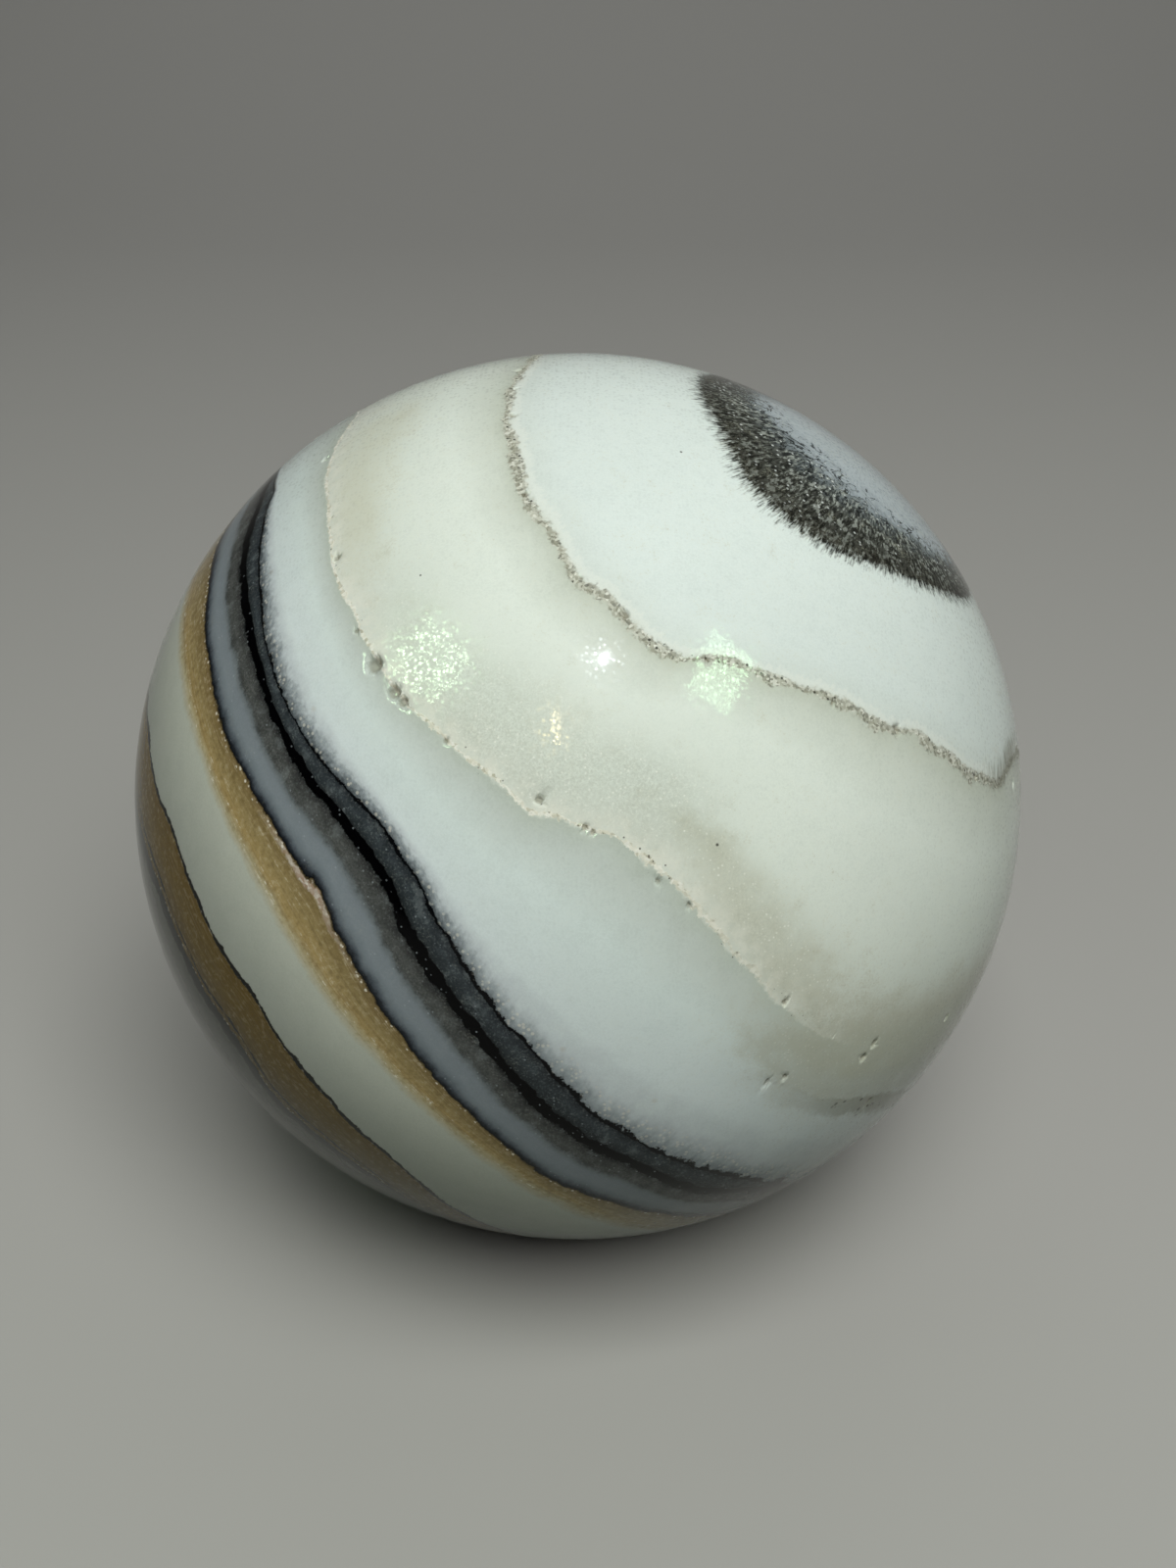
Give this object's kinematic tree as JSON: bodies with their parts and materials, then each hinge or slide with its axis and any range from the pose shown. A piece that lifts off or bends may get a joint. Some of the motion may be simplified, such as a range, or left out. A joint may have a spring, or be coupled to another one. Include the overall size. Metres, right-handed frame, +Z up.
{
  "type": "calcite sphere",
  "caption": "Polished ball of banded calcite, pale with dark and tan growth bands, an eye at one side and small open pits along its seams.",
  "frame": {"origin": "centre of the ball", "axes": "+Z up as the ball is shown, with its growth layers leaning over towards +X and the seam with the open pits facing -Y"},
  "size_m": [0.076, 0.076, 0.076],
  "materials": {
    "stone": "polished, slightly translucent, with fine open pits"
  },
  "bodies": {
    "root": {"ball": "stone"}
  },
  "joints": []
}
